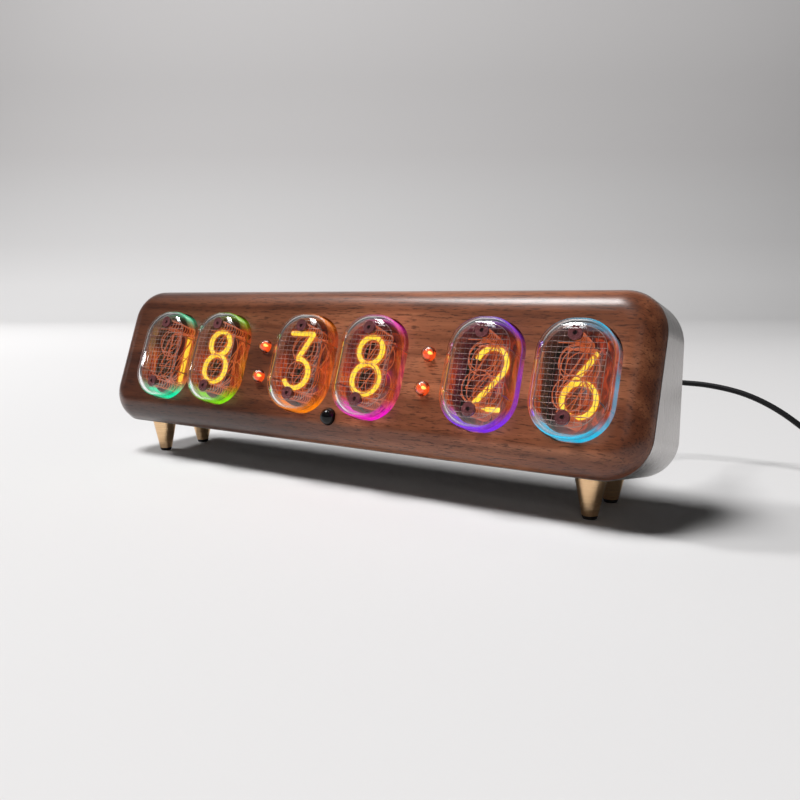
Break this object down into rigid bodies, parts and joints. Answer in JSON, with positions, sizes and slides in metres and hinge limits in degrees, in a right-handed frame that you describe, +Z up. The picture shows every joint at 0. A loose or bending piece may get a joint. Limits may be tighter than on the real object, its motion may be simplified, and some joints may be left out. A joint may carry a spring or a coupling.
{
  "type": "nixie tube clock",
  "caption": "Desk clock with end-view numeral tubes standing out of a leaning walnut front, metal case, tapered brass feet and a coiled power lead.",
  "frame": {"origin": "on the table, under the middle of the clock's own length and depth, the lead left out", "axes": "+X along the clock to the right as seen from the front, +Y from front to back, +Z up"},
  "size_m": [0.2821, 0.1077, 0.0598],
  "materials": {
    "walnut": "satin oiled walnut with straight grain along the front",
    "brushed_case": "brushed grey metal, brushed across the side",
    "dark_steel": "dark screw steel",
    "foot_brass": "satin turned brass",
    "foot_rubber": "black rubber tip",
    "tube_glass": "clear polished glass",
    "anode_steel": "thin bright steel",
    "numeral_wire": "etched numeral plates, one in each tube glowing",
    "ceramic": "pinkish ceramic rod",
    "lamp_glass": "clear glass round a neon glow",
    "black_plastic": "moulded black plastic",
    "black_gloss": "polished dark dome",
    "led_white": "white lamp body with a clear window",
    "board_green": "green lacquered circuit board",
    "capacitor_sleeve": "dark blue shrink sleeve",
    "cell_steel": "bright steel coin cell",
    "lead_black": "smooth black lead and moulded plugs"
  },
  "bodies": {
    "clock": {"front_panel": "walnut", "case_shell": "brushed_case", "rear_cover": "brushed_case", "cover_screws": "dark_steel", "foot_front_left": "foot_brass", "foot_front_right": "foot_brass", "foot_rear_left": "foot_brass", "foot_rear_right": "foot_brass", "foot_tips": "foot_rubber", "foot_screws": "dark_steel", "tube_1_glass": "tube_glass", "tube_2_glass": "tube_glass", "tube_3_glass": "tube_glass", "tube_4_glass": "tube_glass", "tube_5_glass": "tube_glass", "tube_6_glass": "tube_glass", "tube_1_anode": "anode_steel", "tube_2_anode": "anode_steel", "tube_3_anode": "anode_steel", "tube_4_anode": "anode_steel", "tube_5_anode": "anode_steel", "tube_6_anode": "anode_steel", "tube_1_numerals": "numeral_wire", "tube_2_numerals": "numeral_wire", "tube_3_numerals": "numeral_wire", "tube_4_numerals": "numeral_wire", "tube_5_numerals": "numeral_wire", "tube_6_numerals": "numeral_wire", "tube_1_base": "tube_glass", "tube_2_base": "tube_glass", "tube_3_base": "tube_glass", "tube_4_base": "tube_glass", "tube_5_base": "tube_glass", "tube_6_base": "tube_glass", "tube_pins": "anode_steel", "tube_rods": "ceramic", "tube_sockets": "black_plastic", "colon_lamps": "lamp_glass", "colon_electrodes": "anode_steel", "sensor_dome": "black_gloss", "underlight_leds": "led_white", "display_board": "board_green", "control_board": "board_green", "board_standoffs": "foot_brass", "board_screws": "dark_steel", "driver_chips": "black_plastic", "hv_inductor": "black_plastic", "hv_capacitor": "capacitor_sleeve", "backup_battery": "cell_steel", "power_jack": "black_plastic", "tact_switches": "black_plastic", "power_plug": "lead_black", "power_cord": "lead_black", "cord_coil": "lead_black", "usb_plug": "lead_black", "cord_tie": "lead_black"},
    "set_button": {"button_set": "black_plastic"},
    "minus_button": {"button_minus": "black_plastic"},
    "plus_button": {"button_plus": "black_plastic"}
  },
  "joints": [
    {"name": "set_press", "type": "slide", "parent": "clock", "child": "set_button", "axis": [0, -1, 0], "range_m": [0, 0.0005], "stiffness_N_per_m": 600},
    {"name": "minus_press", "type": "slide", "parent": "clock", "child": "minus_button", "axis": [0, -1, 0], "range_m": [0, 0.0005], "stiffness_N_per_m": 600},
    {"name": "plus_press", "type": "slide", "parent": "clock", "child": "plus_button", "axis": [0, -1, 0], "range_m": [0, 0.0005], "stiffness_N_per_m": 600}
  ]
}
